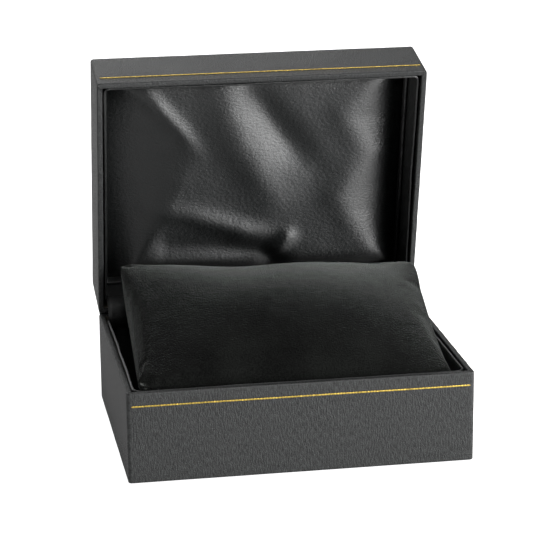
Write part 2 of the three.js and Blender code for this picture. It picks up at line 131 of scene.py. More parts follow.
def colour_property(name, description, hexadecimal):
    """A colour setting whose default is an sRGB hex value."""
    return bpy.props.FloatVectorProperty(
        name=name, description=description, subtype="COLOR", size=3, min=0, max=1,
        default=linear(hexadecimal),
    )


def length_property(name, description, millimetres):
    """A length setting whose default is in millimetres."""
    return bpy.props.FloatProperty(
        name=name, description=description, unit="LENGTH", min=0, default=millimetres * MM
    )


class GiftBoxSettings(bpy.types.PropertyGroup):
    """Sizes and colours that a maker of the box would change."""

    leatherette: colour_property("Leatherette", "Colour of the wrapped covering", "#1f2020")
    satin: colour_property("Satin", "Colour of the lining", "#0a0c0c")
    velvet: colour_property("Velvet", "Colour of the pillow's pile", "#090a09")
    gold: colour_property("Gold", "Colour of the stamped line", "#d6b85a")
    grain: length_property("Grain spacing", "Distance between the embossed grain lines", 0.38)
    wrap_edge: length_property("Wrap edge radius", "Rounding of the leatherette on an edge", 0.35)
    satin_puff: length_property("Satin puff", "How far the padding lifts the lid's satin", 7.2)
    line_width: length_property("Gold line width", "Width of the stamped gold line", 0.42)
    rope_pitch: length_property("Gold line pitch", "Length of one twist of the gold line", 0.9)
    pillow_crown: length_property("Pillow crown", "Height of the crown over the seam", 10.5)


# ---- surfaces -----------------------------------------------------------------------------


def surface(name, points, uv=None, loop=(False, False), flat=False):
    """A mesh from a grid of points in millimetres, one row per step of the first parameter.

    loop joins the last row or column to the first. uv has one more row or column there, so the
    pattern runs on over the join.
    """
    rows, columns = points.shape[:2]
    row = np.arange(rows if loop[0] else rows - 1)
    column = np.arange(columns if loop[1] else columns - 1)
    i, j = (grid.ravel() for grid in np.meshgrid(row, column, indexing="ij"))
    corners = np.stack([[i, i + 1, i + 1, i], [j, j, j + 1, j + 1]], axis=-1)
    corners = corners.transpose(1, 0, 2)
    index = (corners[..., 0] % rows) * columns + corners[..., 1] % columns
    mesh = bpy.data.meshes.new(name)
    mesh.from_pydata((points.reshape(-1, 3) * MM).tolist(), [], index.tolist())
    if uv is not None:
        layer = mesh.uv_layers.new(name="Cloth")
        layer.data.foreach_set("uv", uv[corners[..., 0], corners[..., 1]].ravel())
    mesh.polygons.foreach_set("use_smooth", np.full(len(mesh.polygons), not flat))
    made = bpy.data.objects.new(name, mesh)
    bpy.context.scene.collection.objects.link(made)
    return made


def seal(made, *others):
    """Closes a shape: merges doubles, fills what is left open and turns its faces outwards.

    The other objects become part of the first one and are removed.
    """
    shape = bmesh.new()
    for piece in (made, *others):
        shape.from_mesh(piece.data)
    bmesh.ops.remove_doubles(shape, verts=shape.verts, dist=0.002 * MM)
    bmesh.ops.holes_fill(shape, edges=[edge for edge in shape.edges if edge.is_boundary])
    bmesh.ops.recalc_face_normals(shape, faces=shape.faces)
    if shape.calc_volume(signed=True) < 0:
        bmesh.ops.reverse_faces(shape, faces=shape.faces)
    shape.to_mesh(made.data)
    shape.free()
    for piece in others:
        bpy.data.objects.remove(piece)
    made.data.polygons.foreach_set("use_smooth", np.ones(len(made.data.polygons), bool))
    return made


def smooth_step(values, low, high):
    """0 below low, 1 above high, and a smooth rise between them."""
    t = np.clip((values - low) / (high - low), 0, 1)
    return t * t * (3 - 2 * t)


def waver(values, seed, lengths=(61.0, 37.0, 23.0, 11.0)):
    """A smooth wandering from -1 to 1: a sum of sines whose wavelengths share no factor."""
    phases = np.random.default_rng(seed).uniform(0, 2 * math.pi, len(lengths))
    waves = [np.sin(2 * math.pi * values / n + p) for n, p in zip(lengths, phases)]
    return sum(waves) / len(lengths)


def smooth_path(points, count):
    """A Catmull-Rom curve through the points, in equal steps of its length."""
    points = np.array(points, float)
    padded = np.vstack([2 * points[0] - points[1], points, 2 * points[-1] - points[-2]])
    t = np.linspace(0, 1, 24, endpoint=False)[:, None]
    pieces = []
    for a, b, c, d in zip(padded, padded[1:], padded[2:], padded[3:]):
        cubic = (3 * b - 3 * c + d - a) * t**3
        pieces.append(0.5 * (2 * b + (c - a) * t + (2 * a - 5 * b + 4 * c - d) * t**2 + cubic))
    fine = np.vstack([*pieces, points[-1:]])
    return resample(fine, count)


def resample(points, count):
    """The same line in equal steps of its length."""
    length = np.concatenate([[0], np.cumsum(np.linalg.norm(np.diff(points, axis=0), axis=1))])
    at = np.linspace(0, length[-1], count)
    return np.stack([np.interp(at, length, column) for column in points.T], axis=-1)


def path_lengths(points, closed=True):
    """Distance along a line of points at each of them, and back at the first one if closed."""
    around = np.vstack([points, points[:1]]) if closed else points
    steps = np.linalg.norm(np.diff(around, axis=0), axis=1)
    return np.concatenate([[0], np.cumsum(steps)])


def case_path(straight=56, corner=8):
    """The way round the case, as the place of its corner centres and its outward direction.

    A point on the path is centre times half the size, less the corner's radius, plus the
    radius along the outward direction. Along a side the centre moves from one corner to the
    next and the direction stays; round a corner the centre stays and the direction turns.
    """
    corners = [(-1, -1), (1, -1), (1, 1), (-1, 1)]
    centres, angles = [], []
    for k, (start, end) in enumerate(zip(corners, corners[1:] + corners[:1])):
        share = np.linspace(0, 1, straight, endpoint=False)[:, None]
        centres.append(np.array(start) * (1 - share) + np.array(end) * share)
        angles.append(np.full(straight, -90.0 + 90 * k))
        centres.append(np.tile(end, (corner, 1)))
        angles.append(-90.0 + 90 * (k + np.arange(corner) / corner))
    angles = np.radians(np.concatenate(angles))
    return np.vstack(centres), np.stack([np.cos(angles), np.sin(angles)], axis=-1)


def carry(path, half_x, half_y, radius, z, centre_y=0.0):
    """A profile carried round the case: each argument is a number or an array over the grid
    of path steps and profile steps."""
    centre, outward = path
    x = centre[:, :1] * (half_x - radius) + outward[:, :1] * radius
    y = centre_y + centre[:, 1:] * (half_y - radius) + outward[:, 1:] * radius
    z = z + 0 * x
    return np.stack([x, y, z], axis=-1)


def on_back(outward):
    """1 along the back wall and 0 along the others, as a column of path steps."""
    return smooth_step(outward[:, 1], 0.9, 0.99)[:, None]


def arc(centre, radius, start, end, count=6):
    """Points of a circular arc in the profile's plane, in degrees."""
    angles = np.radians(np.linspace(start, end, count))
    ring = np.stack([np.cos(angles), np.sin(angles)], axis=-1) * radius
    return ring + np.array(centre)


def side_uv(points):
    """Pattern coordinates in millimetres: round the case, and along the profile."""
    around = path_lengths(points[:, 0, :])
    along = path_lengths(points[0])
    return np.stack(np.meshgrid(around, along, indexing="ij"), axis=-1)


# ---- leatherette covering -----------------------------------------------------------------

BOARD_TURN = 1.7
WRAP_THICKNESS = 0.25
WRAP_TURN_IN = 8
CASE_CORNER = 1.0

# The rim is let down over the hinge, and comes back up between these half widths.
RIM_DROP = 1.5
RIM_DROP_ENDS = (45.9, 46.6)


def wrap_profile(rim, edge, flange, fold):
    """The section of the turned covering, as distance in from the outer face and height.

    It starts under the foot, turns up the wall, goes over the rim and down the inside, and
    comes back against the board one thickness in. Height runs from the foot to the rim.
    """
    inner = edge - WRAP_THICKNESS
    turn = BOARD_TURN
    outside = [
        [[flange, 0], [flange * 0.5, 0]],
        arc((edge, edge), edge, -90, -180),
        np.stack([np.zeros(10), np.linspace(edge + 0.5, rim - edge - 0.3, 10)], axis=-1),
        arc((edge, rim - edge), edge, 180, 90),
        arc((turn - edge, rim - edge), edge, 90, 0),
        [[turn, rim - edge - 1], [turn, rim - fold]],
    ]
    inside = [
        [[turn - WRAP_THICKNESS, rim - fold], [turn - WRAP_THICKNESS, rim - edge - 1]],
        arc((turn - edge, rim - edge), inner, 0, 90, 4),
        arc((edge, rim - edge), inner, 90, 180, 4),
        [[WRAP_THICKNESS, rim - edge - 1], [WRAP_THICKNESS, edge + 0.5]],
        arc((edge, edge), inner, 180, 270, 4),
        [[flange * 0.5, WRAP_THICKNESS], [flange, WRAP_THICKNESS]],
    ]
    return np.vstack(outside + inside)


def wrapped_wall(path, profile, low, high, upward, seed):
    """The covering's section carried round the case, with the rim let down over the hinge.

    upward is 1 where the rim is on top and -1 where it points down. The covering wanders by
    a few hundredths of a millimetre along each face, and more at the turned corners.
    """
    inset = profile[None, :, 0]
    height = profile[None, :, 1]
    centre, outward = path
    x = (centre[:, 0] * HALF_WIDTH)[:, None]
    at_back = on_back(outward)
    near_rim = smooth_step(height, high - low - 3.5, high - low - 1.2)
    over_hinge = at_back * (1 - smooth_step(np.abs(x), *RIM_DROP_ENDS))
    turned_in = smooth_step(inset, 0.2, 1.0)
    height = height - RIM_DROP * near_rim * over_hinge
    inset = inset - (inset - 0.3) * turned_in * near_rim * over_hinge
    around = np.cumsum(np.ones(len(centre)))[:, None]
    corner_fold = np.exp(-(((HALF_WIDTH - np.abs(x)) / 2.2) ** 2)) * near_rim
    ripple = 0.05 * waver(around, seed) + 0.03 * waver(around * 3.1 + height * 2, seed + 1)
    height = height + near_rim * (ripple + 0.12 * corner_fold * waver(around * 7, seed + 2))
    inset = inset - 0.035 * waver(around * 2 + height, seed + 3)
    radius = np.maximum(CASE_CORNER - inset, 0.35)
    z = low + height if upward > 0 else high - height
    return carry(path, HALF_WIDTH - inset, HALF_DEPTH - inset, radius, z)


def tray_cover(edge):
    """Covering of the tray: outer walls, rim, the fold inside and the flange underneath."""
    low, high = TRAY_LOW[2], TRAY_HIGH[2]
    path = case_path()
    profile = wrap_profile(high - low, edge, WRAP_TURN_IN, WRAP_TURN_IN)
    points = wrapped_wall(path, profile, low, high, 1, 11)
    return seal(surface("tray_cover", points, side_uv(points), (True, True)))


def lid_cover(edge):
    """Covering of the lid: the same section turned over, with the top panel closed.

    The panel is rings that shrink from the section's two ends to the middle, its two faces
    one thickness apart.
    """
    low, high = LID_LOW[2], LID_HIGH[2]
    path = case_path()
    profile = wrap_profile(high - low, edge, WRAP_TURN_IN, WRAP_TURN_IN)
    points = wrapped_wall(path, profile, low, high, -1, 31)
    shares = np.linspace(1, 0, 14)
    scales = np.stack([shares, shares, np.ones(14)], axis=-1)
    panel = (points[:, :1] * scales)[:, ::-1]
    inner = points[:, -1:] * scales
    inner[:, -1:] = panel[:, :1] - [0, 0, WRAP_THICKNESS]
    whole = np.concatenate([panel[:, :-1], points, inner[:, 1:]], axis=1)
    uv = lid_uv(whole, panel.shape[1] - 1)
    return seal(surface("lid_cover", turn_lid(whole, -OPEN_ANGLE), uv, (True, False)))


def lid_uv(points, panel_rings):
    """Pattern coordinates of the lid: round the walls, and straight across the top panel."""
    around = path_lengths(points[:, panel_rings + 12, :])
    along = path_lengths(points[0], closed=False)
    uv = np.stack(np.meshgrid(around, along, indexing="ij"), axis=-1)
    wrapped = np.concatenate([points, points[:1]], axis=0)
    across = np.zeros(points.shape[1], bool)
    across[: panel_rings + 3] = True
    uv[:, across] = wrapped[:, across, :2] + 200
    return uv


# ---- gold line ----------------------------------------------------------------------------

STEPS_PER_TWIST = 8
ROPE_SIDES = 12


def gold_rope(name, node, shut, width, pitch):
    """A foil line with the look of a two-strand twist, pressed flat on a front face.

    Its section is an ellipse whose radius swells twice round and turns once in each pitch.
    """
    low, high = shut_box(node) if shut else rest_box(node)
    x = np.linspace(low[0], high[0], int((high[0] - low[0]) / pitch * STEPS_PER_TWIST))[:, None]
    round_ = np.linspace(0, 2 * math.pi, ROPE_SIDES, endpoint=False)[None, :]
    twist = 2 * math.pi * x / pitch
    swell = 1 + 0.16 * np.cos(2 * round_ - twist)
    worn = 1 + 0.06 * waver(x, 5, (7.0, 3.1, 1.7))
    z = (low[2] + high[2]) / 2 + width / 2 * np.sin(round_) * swell * worn
    z = z + 0.04 * waver(x, 8, (83.0, 41.0))
    y = high[1] + 0.08 - (0.14 + 0.1 * np.cos(round_)) * swell
    points = np.stack([x + 0 * z, y + 0 * z, z], axis=-1)
    ends = smooth_step(x, low[0] - 0.01, low[0] + 0.3) * (
        1 - smooth_step(x, high[0] - 0.3, high[0] + 0.01)
    )
    middle = points.mean(axis=1, keepdims=True)
    points = middle + (points - middle) * np.maximum(ends, 0.02)[..., None]
    if shut:
        points = turn_lid(points, -OPEN_ANGLE)
    return seal(surface(name, points, None, (False, True)))


# ---- linings ------------------------------------------------------------------------------

BAND_THICKNESS = 0.7
BAND_BOW = 0.28
TRAY_BAND_CORNER = 3.5
LID_BAND_CORNER = 1.8

# The bands step down over the hinge, and come back up between these half widths.
BAND_STEP = 3.6
BAND_STEP_ENDS = (43.5, 45.5)


def band_profile(thickness, height):
    """The section of a card band: straight sides and two rounded edges."""
    r = thickness / 2
    rise = np.linspace(r + 0.4, height - r - 0.4, 12)
    outer = np.stack([np.zeros(12), rise], axis=-1)
    inner = np.stack([np.full(12, thickness), rise[::-1]], axis=-1)
    top = arc((r, height - r), r, 180, 0, 7)
    foot = arc((r, r), r, 0, -180, 7)
    return np.vstack([outer, top, inner, foot])


def card_band(name, low, high, rim_up, corner, seed):
    """A lining band: a card strip bent round inside the walls, rounded at the corners.

    Each side bows a little between its corners, its edge wanders, and it steps down over the
    hinge where the satin is tucked behind it.
    """
    path = case_path()
    centre, outward = path
    profile = band_profile(BAND_THICKNESS, high[2] - low[2])
    inset = profile[None, :, 0]
    height = profile[None, :, 1]
    half_x = (high[0] - low[0]) / 2
    half_y = (high[1] - low[1]) / 2
    x = (centre[:, 0] * half_x)[:, None]
    y = (centre[:, 1] * half_y)[:, None]
    around = np.arange(len(centre))[:, None].astype(float)
    open_edge = smooth_step(height, 4, high[2] - low[2])
    bow = BAND_BOW * np.cos(math.pi * x / 2 / half_x) * (np.abs(outward[:, 1:]) > 0.99)
    bow = bow + BAND_BOW * np.cos(math.pi * y / 2 / half_y) * (np.abs(outward[:, :1]) > 0.99)
    drift = open_edge * (bow * (0.7 + 0.6 * waver(around, seed)))
    at_back = on_back(outward)
    step = at_back * (1 - smooth_step(np.abs(x), *BAND_STEP_ENDS))
    near = smooth_step(height, high[2] - low[2] - 6, high[2] - low[2] - 1)
    height = height - BAND_STEP * step * near + 0.08 * open_edge * waver(around * 1.7, seed + 1)
    radius = corner - inset
    z = low[2] + height if rim_up else high[2] - height
    centre_y = (low[1] + high[1]) / 2
    points = carry(path, half_x - inset - drift, half_y - inset - drift, radius, z, centre_y)
    uv = side_uv(points)
    if not rim_up:
        points = turn_lid(points, -OPEN_ANGLE)
    return seal(surface(name, points, uv, (True, True)))


# ---- lid satin ----------------------------------------------------------------------------

# Where the padding's flat top ends on each side, as (up from the hinge, across) in millimetres.
SATIN_LEFT = (
    (8, -40), (14, -37), (22, -32), (33, -26), (46, -21), (56, -24), (64, -31), (73, -40),
)
SATIN_RIGHT = (
    (8, 40), (12, 38), (19, 31), (27, 25), (35, 27), (47, 34), (59, 26), (66, 30), (73, 36),
)

# Folds of the gathered satin. Each is the way it runs, as points of (across, up from the
# hinge, height), and its half width, all in millimetres. A valley has a negative height.
SATIN_FOLDS = (
    (((-36, 72, 0.5), (-30, 64, 1.2), (-24, 57, 1.0), (-18, 49, 0.2)), 2.5),
    (((-11, 70, 0.6), (-9, 60, 1.2), (-5, 51, 1.5), (0, 43, 1.6), (5, 34, 0.8)), 6.5),
    (((-2, 69, -0.9), (3, 62, -1.6), (8, 55, -1.8), (13, 49, -1.4), (18, 43, -0.5)), 5.0),
    (((36, 70, 0.4), (28, 61, 0.8), (33, 48, 0.5), (27, 32, 0.9), (36, 17, 0.3)), 5.5),
    (((-33, 31, 0.6), (-18, 27, 1.3), (-4, 22, 1.4), (4, 20, 0.5)), 3.4),
    (((-27, 17, -1.2), (-10, 15.5, -2.2), (2, 13, -2.6), (6, 11, -2.6)), 4.2),
    (((5.5, 10.5, -0.6), (7.5, 14, 1.5), (10.5, 19, 1.3)), 2.6),
)
SATIN_LEAN = 0.04
SATIN_THICKNESS = 0.3

# How far the far and the hinge side's shoulders reach, and how sharply all four round over.
FAR_SHOULDER, HINGE_SHOULDER = 6, 8
SHOULDER_POWERS = (1.25, 2.4, 2.0, 1.6)


def line_distance(x, y, line):
    """Distance from each point to a line of points, and the line's height where it is nearest."""
    nearest = np.full(x.shape, 1e9)
    height = np.zeros(x.shape)
    for (x0, y0, h0), (x1, y1, h1) in zip(line, line[1:]):
        along = np.array([x1 - x0, y1 - y0])
        t = np.clip(((x - x0) * along[0] + (y - y0) * along[1]) / (along @ along), 0, 1)
        distance = np.hypot(x - x0 - t * along[0], y - y0 - t * along[1])
        closer = distance < nearest
        height = np.where(closer, h0 + (h1 - h0) * t, height)
        nearest = np.where(closer, distance, nearest)
    return nearest, height


def satin_height(x, y, puff, half_x, y_low, y_high):
    """How far the satin stands out from the pad card.

    Four shoulders rise from the edges to the padding's top, like a hipped roof with crooked
    hips: each is one less a power of the share of the way that is left. The top leans back
    away from the hinge. The folds add a bell across each of their lines.
    """
    left = np.interp(y, *np.array(SATIN_LEFT).T)
    right = np.interp(y, *np.array(SATIN_RIGHT).T)
    shares_left = [
        (left - x) / (left + half_x),
        (x - right) / (half_x - right),
        1 - (y_high - y) / FAR_SHOULDER,
        1 - (y - y_low) / HINGE_SHOULDER,
    ]
    rises = [1 - np.clip(s, 0, 1) ** power for s, power in zip(shares_left, SHOULDER_POWERS)]
    top = puff - SATIN_LEAN * (y - y_low)
    height = 1.0 + top * np.minimum.reduce(rises)
    rise = np.clip((height - 1) / 3, 0, 1)
    for line, width in SATIN_FOLDS:
        distance, level = line_distance(x, y, line)
        height = height + rise * level * np.exp(-((distance / width) ** 2))
    return height


def soften(height, times):
    """Each inner height eased towards the mean of its neighbours, which rounds the creases."""
    for _ in range(times):
        mean = height.copy()
        mean[1:-1, 1:-1] = (
            height[:-2, 1:-1] + height[2:, 1:-1] + height[1:-1, :-2] + height[1:-1, 2:]
        ) / 4
        height = height * 0.3 + mean * 0.7
    return height


def lid_satin(puff):
    """The gathered satin: a puffed sheet over the lid's pad. Its turned edge is the separate satin_edge."""
    half_x = CARD_HIGH[0] - 0.2
    y_low, y_high = CARD_LOW[1] + 0.2, CARD_HIGH[1] - 0.2
    across = np.linspace(-half_x, half_x, 160)
    up = np.linspace(AXIS_Y - y_high, AXIS_Y - y_low, 118)
    x, y = np.meshgrid(across, up, indexing="ij")
    height = soften(satin_height(x, y, puff, half_x, up[0], up[-1]), 4)
    z = CARD_LOW[2] - height
    points = np.stack([x, AXIS_Y - y, z], axis=-1)
    uv = np.stack([x, y], axis=-1)
    cloth = surface("lid_satin_cloth", turn_lid(points, -OPEN_ANGLE), uv)
    return thicken(cloth, SATIN_THICKNESS)


def satin_edge():
    """The satin's turned edge: it runs up the wall round the pad and ends in a thin roll.

    The section is a strip that stands on the pad's edge with an arc at its end, and its height
    wanders a little on the way round.
    """
    centre, outward = case_path(40, 6)
    half = (CARD_HIGH - CARD_LOW) / 2 - 0.15
    middle = (CARD_HIGH + CARD_LOW) / 2
    corner = 1.5
    rise, roll = 5.6, 0.4
    turned = arc((-roll, rise), roll, 0, 200, 8)
    strip = [[-0.3, rise - roll], [-0.3, rise / 2], [-0.3, 0.5], [0, 0.5], [0, rise / 2]]
    profile = np.vstack([turned, strip])
    out = profile[None, :, 0]
    around = np.arange(len(centre))[:, None]
    wander = 0.2 * waver(around * 1.1, 79) + 0.12 * waver(around * 2.3, 77, (13.0, 7.0, 3.7))
    height = profile[None, :, 1] * (1 + 0.2 * wander)
    x = middle[0] + centre[:, :1] * (half[0] - corner) + outward[:, :1] * (corner + out)
    y = middle[1] + centre[:, 1:] * (half[1] - corner) + outward[:, 1:] * (corner + out)
    points = np.stack([x, y, CARD_LOW[2] - height], axis=-1)
    uv = side_uv(points)
    return seal(surface("lid_satin_edge", turn_lid(points, -OPEN_ANGLE), uv, (True, True)))


def thicken(made, thickness):
    """Gives a sheet its thickness, half on each side."""
    modifier = made.modifiers.new("Thickness", "SOLIDIFY")
    modifier.thickness = thickness * MM
    modifier.offset = 0
    return seal(apply_modifiers(made))


# ---- strips across the hinge --------------------------------------------------------------

STRIP_STEPS = 56
STRIP_THICKNESS = 0.3
SATIN_STRIP_HALF = 48.4
SATIN_STRIP_RIPPLE = 0.55
SATIN_STRIP_TAILS = 3.6
SPINE_HALF = 50.6


def on_lid(inset, along):
    """A point of the open lid's back wall: in from its outer face, and along it from the axis."""
    cosine, sine = math.cos(OPEN_ANGLE), math.sin(OPEN_ANGLE)
    return (-inset * cosine + along * sine, inset * sine + along * cosine)


def hinge_strip(name, line, half_width, thickness, ripple=0.0, seed=0, start=0.0, tails=0.0):
    """A strip carried along X across the hinge, from a line of points round the axis.

    tails is how much narrower its two ends are on each side than its middle.
    """
    path = smooth_path(line, STRIP_STEPS)
    share = np.linspace(-1, 1, max(int(half_width * 1.6), 9))
    middle = smooth_step(np.sin(math.pi * np.linspace(0, 1, STRIP_STEPS)), 0.35, 0.8)
    x = start + share[:, None] * (half_width - tails * (1 - middle))[None, :]
    tangent = np.gradient(path, axis=0)
    tangent /= np.linalg.norm(tangent, axis=1, keepdims=True)
    normal = np.stack([-tangent[:, 1], tangent[:, 0]], axis=-1)
    t = np.linspace(0, 1, len(path))[None, :]
    wave = ripple * middle * waver(x + 9 * t, seed, (31.0, 17.0, 9.7, 6.1))
    y = AXIS_Y + path[None, :, 0] + normal[None, :, 0] * wave
    z = AXIS_Z + path[None, :, 1] + normal[None, :, 1] * wave
    points = np.stack([x, y, z], axis=-1)
    along = path_lengths(path, closed=False)[None, :] + 0 * x
    uv = np.stack([x, along], axis=-1)
    return thicken(surface(name, points, uv), thickness)


def apply_modifiers(made):
    """The object with its modifiers worked into its mesh."""
    graph = bpy.context.evaluated_depsgraph_get()
    mesh = bpy.data.meshes.new_from_object(made.evaluated_get(graph))
    made.modifiers.clear()
    old, made.data = made.data, mesh
    bpy.data.meshes.remove(old)
    made.data.name = made.name
    return made


SATIN_ROLL = (
    (-2.7, -13), (-2.8, -8), (-3.2, -4.2), (-5.0, -2.2), (-5.6, 0.6), (-4.2, 3.6),
    (-1.0, 5.0), (2.2, 4.6), on_lid(2.8, 5.5), on_lid(2.7, 9), on_lid(2.7, 13),
)
SPINE_LINE = (
    (0.25, -8), (0.25, -5.5), (0.32, -3.5), (0.9, -1.6), (1.5, -0.75),
    on_lid(-0.9, 1.6), on_lid(-0.32, 3.5), on_lid(-0.25, 5.5), on_lid(-0.25, 8),
)
SPRING_LINE = (
    (-2.2, -12), (-2.2, -6), (-2.2, -1.5), (-2.25, 0.9), (-1.2, 2.2),
    on_lid(2.2, 1.5), on_lid(2.2, 6), on_lid(2.2, 12),
)


# ---- pillow -------------------------------------------------------------------------------

PILLOW_HALF = (47.5, 34.6)
PILLOW_CENTRE = (1.0, -1.9, 34.9)
PILLOW_TILT = 15.3
PILLOW_ROLL = 1.8
PILLOW_YAW = -1.8
PILLOW_BELLY = 36.0

# The cover is simulated at this many times its size, for this many frames.
STUFFING_SCALE = 10
STUFFING_FRAMES = 20

# The cloth is larger by this share, and no point moves farther than this.
CLOTH_EXTRA = 0.012
FARTHEST_MOVE = 1.2

# The cover is held up to this height over the floor card, and this near to its corners.
HELD_OVER_FLOOR = 4
HELD_ROUND_CORNER = 2.5


def pillow_face(u, v, height, power, inset=0.0):
    """One face of the cushion over its seam plane.

    Its outline is a rectangle, a little wider at the back, whose sides pull in between the
    corners and whose right back corner is rounder. Its height is a crown that falls to nothing
    round the seam. The back edge sags in a bell left of its middle.
    """
    rounding = 0.022 * (u * v) ** 6 + 0.02 * (np.clip(u, 0, 1) * np.clip(v, 0, 1)) ** 8
    x = (PILLOW_HALF[0] + 0.4 * v - inset) * u * (1 - 0.018 * (1 - v * v) - rounding)
    y = (PILLOW_HALF[1] - inset) * v * (1 - 0.030 * (1 - u * u) - rounding)
    swell = np.clip((1 - u * u) * (1 - v * v), 0, 1) ** power
    sag = 1.7 * np.exp(-(((u + 0.22) / 0.3) ** 2)) * smooth_step(v, -0.2, 1)
    return np.stack([x, y, height * swell - sag], axis=-1)


def place_pillow(points):
    """Points over the seam plane, turned and moved to where the pillow lies in the tray."""
    turn = (
        Matrix.Rotation(math.radians(PILLOW_YAW), 3, "Z")
        @ Matrix.Rotation(math.radians(PILLOW_ROLL), 3, "Y")
        @ Matrix.Rotation(math.radians(PILLOW_TILT), 3, "X")
    )
    return points @ np.array(turn).T + np.array(PILLOW_CENTRE)


def cushion(name, crown, rest, inset=0.0, steps=60):
    """Two faces joined at a seam, flat where the belly rests."""
    knots = np.sin(np.linspace(-0.5, 0.5, steps + 1) * math.pi)
    knots = 0.6 * knots + 0.4 * np.linspace(-1, 1, steps + 1)
    u, v = np.meshgrid(knots, knots, indexing="ij")
    top = place_pillow(pillow_face(u, v, crown, 0.94, inset))
    belly = place_pillow(pillow_face(u, v, -PILLOW_BELLY, 0.6, inset))
    belly[..., 2] = np.maximum(belly[..., 2], rest)
    uv = np.stack([u * PILLOW_HALF[0], v * PILLOW_HALF[1]], axis=-1)
    return seal(surface(name, top, uv), surface(name + "_belly", belly, uv))


def vertex_places(made):
    """Where a mesh's vertices are, one row for each."""
    places = np.zeros(len(made.data.vertices) * 3)
    made.data.vertices.foreach_get("co", places)
    return places.reshape(-1, 3)


def blown_up(made, grow, farthest):
    """The cover after its stuffing: cloth cut a little large, pushed out from inside.

    The simulation runs on an enlarged copy, where the solver is at its best. The belly and
    the corners are held, and no point ends up farther from its place than the limit.
    """
    before = vertex_places(made)
    made.data.vertices.foreach_set("co", (before * STUFFING_SCALE).ravel())
    held = made.vertex_groups.new(name="held")
    low = before[:, 2] < (FLOOR_TOP + HELD_OVER_FLOOR) * MM
    edge = [[a * (PILLOW_HALF[0] + b), b * PILLOW_HALF[1], 0] for a in (-1, 1) for b in (-1, 1)]
    corners = place_pillow(np.array(edge)) * MM
    apart = np.linalg.norm(before[:, None] - corners[None], axis=-1).min(1)
    held.add(np.flatnonzero(low | (apart < HELD_ROUND_CORNER * MM)).tolist(), 1.0, "REPLACE")
    cloth = made.modifiers.new("Stuffing", "CLOTH")
    cloth.settings.quality = 5
    cloth.settings.mass = 0.3
    cloth.settings.tension_stiffness = 25
    cloth.settings.compression_stiffness = 25
    cloth.settings.bending_stiffness = 0.6
    cloth.settings.shrink_min = -grow
    cloth.settings.use_pressure = True
    cloth.settings.uniform_pressure_force = 3
    cloth.settings.vertex_group_mass = "held"
    cloth.settings.effector_weights.gravity = 0
    scene = bpy.context.scene
    for step in range(1, STUFFING_FRAMES + 1):
        scene.frame_set(step)
    apply_modifiers(made)
    scene.frame_set(1)
    made.vertex_groups.clear()
    move = vertex_places(made) / STUFFING_SCALE - before
    length = np.linalg.norm(move, axis=1, keepdims=True)
    limit = farthest * MM
    move *= np.minimum(1, limit / np.maximum(length, 1e-9))
    made.data.vertices.foreach_set("co", (before + move).ravel())
    made.data.update()
    return made


def pillow(crown):
    """The velvet pillow: the sewn cover, blown up by its stuffing and subdivided once."""
    sewn = cushion("pillow_velvet", crown, FLOOR_TOP + 0.3)
    made = blown_up(sewn, CLOTH_EXTRA, FARTHEST_MOVE)
    finer = made.modifiers.new("Finer", "SUBSURF")
    finer.levels = finer.render_levels = 1
    return seal(apply_modifiers(made))


# ---- finishes -----------------------------------------------------------------------------


def add(tree, kind, inputs=None, links=None, **settings):
    """Adds one shader node, with its settings, fixed inputs and links.

    A link comes from a socket, or from a node's first output.
    """
    made = tree.nodes.new(kind)
    for key, value in settings.items():
        setattr(made, key, value)
    for key, value in (inputs or {}).items():
        made.inputs[key].default_value = value
    for key, source in (links or {}).items():
        tree.links.new(getattr(source, "outputs", [source])[0], made.inputs[key])
    return made


def new_finish(name, inputs):
    """A material with a Principled surface: the material, its tree and its shader."""
    material = bpy.data.materials.new(name)
    material.use_nodes = True
    tree = material.node_tree
    tree.nodes.clear()
    shader = add(tree, "ShaderNodeBsdfPrincipled", inputs)
    add(tree, "ShaderNodeOutputMaterial", links={"Surface": shader})
    return material, tree, shader


def opaque(colour, level=1.0):
    """A colour with full alpha, at a level of its brightness."""
    return (colour[0] * level, colour[1] * level, colour[2] * level, 1)


def connect(tree, shader, colour, roughness=None, normal=None):
    """Leads a finish's last nodes into its shader."""
    tree.links.new(colour.outputs[COLOUR_RESULT], shader.inputs["Base Color"])
    if roughness is not None:
        tree.links.new(roughness.outputs[0], shader.inputs["Roughness"])
    if normal is not None:
        tree.links.new(normal.outputs[0], shader.inputs["Normal"])


# Sockets of a Mix node set to colours
BETWEEN = {"data_type": "RGBA"}
FIRST_COLOUR, SECOND_COLOUR, COLOUR_RESULT = 6, 7, 2
PER_METRE = 1 / MM


